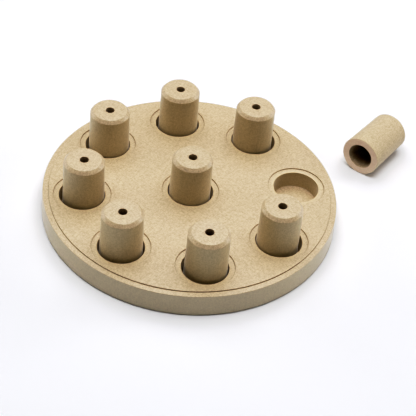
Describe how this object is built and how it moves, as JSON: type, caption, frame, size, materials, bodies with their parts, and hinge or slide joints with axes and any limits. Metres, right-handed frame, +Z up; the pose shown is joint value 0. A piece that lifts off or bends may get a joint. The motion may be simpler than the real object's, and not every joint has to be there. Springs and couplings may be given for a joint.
{
  "type": "dog puzzle feeder",
  "caption": "Round board with wells for treats, each covered by a hollow lift-out cup with a scent hole in its top; one cup lies beside the board.",
  "frame": {"origin": "on the floor under the middle of the round board", "axes": "+Z up, along the board's axis; +X and +Y towards ring wells, with the empty well between them and the cup that was taken out lying along +Y"},
  "size_m": [0.25, 0.3201, 0.0586],
  "materials": {
    "fibre_composite": "moulded wood-fibre composite, tan, matte, with a fine fibre speckle",
    "foot_rubber": "dark grey rubber, matte"
  },
  "bodies": {
    "board_body": {"board": "fibre_composite", "foot_1": "foot_rubber", "foot_2": "foot_rubber", "foot_3": "foot_rubber", "foot_4": "foot_rubber"},
    "cup_centre_body": {"cup_centre": "fibre_composite"},
    "cup_1_body": {"cup_1": "fibre_composite"},
    "cup_2_body": {"cup_2": "fibre_composite"},
    "cup_3_body": {"cup_3": "fibre_composite"},
    "cup_4_body": {"cup_4": "fibre_composite"},
    "cup_5_body": {"cup_5": "fibre_composite"},
    "cup_6_body": {"cup_6": "fibre_composite"},
    "cup_7_body": {"cup_7": "fibre_composite"},
    "cup_taken_out_body": {"cup_taken_out": "fibre_composite"}
  },
  "joints": [
    {"name": "cup_centre_lift", "type": "slide", "parent": "board_body", "child": "cup_centre_body", "axis": [0, 0, 1], "range_m": [0, 0.065]},
    {"name": "cup_1_lift", "type": "slide", "parent": "board_body", "child": "cup_1_body", "axis": [0, 0, 1], "range_m": [0, 0.065]},
    {"name": "cup_2_lift", "type": "slide", "parent": "board_body", "child": "cup_2_body", "axis": [0, 0, 1], "range_m": [0, 0.065]},
    {"name": "cup_3_lift", "type": "slide", "parent": "board_body", "child": "cup_3_body", "axis": [0, 0, 1], "range_m": [0, 0.065]},
    {"name": "cup_4_lift", "type": "slide", "parent": "board_body", "child": "cup_4_body", "axis": [0, 0, 1], "range_m": [0, 0.065]},
    {"name": "cup_5_lift", "type": "slide", "parent": "board_body", "child": "cup_5_body", "axis": [0, 0, 1], "range_m": [0, 0.065]},
    {"name": "cup_6_lift", "type": "slide", "parent": "board_body", "child": "cup_6_body", "axis": [0, 0, 1], "range_m": [0, 0.065]},
    {"name": "cup_7_lift", "type": "slide", "parent": "board_body", "child": "cup_7_body", "axis": [0, 0, 1], "range_m": [0, 0.065]},
    {"name": "cup_taken_out_lift", "type": "slide", "parent": "board_body", "child": "cup_taken_out_body", "axis": [0, 0, 1], "range_m": [0, 0.065]}
  ]
}
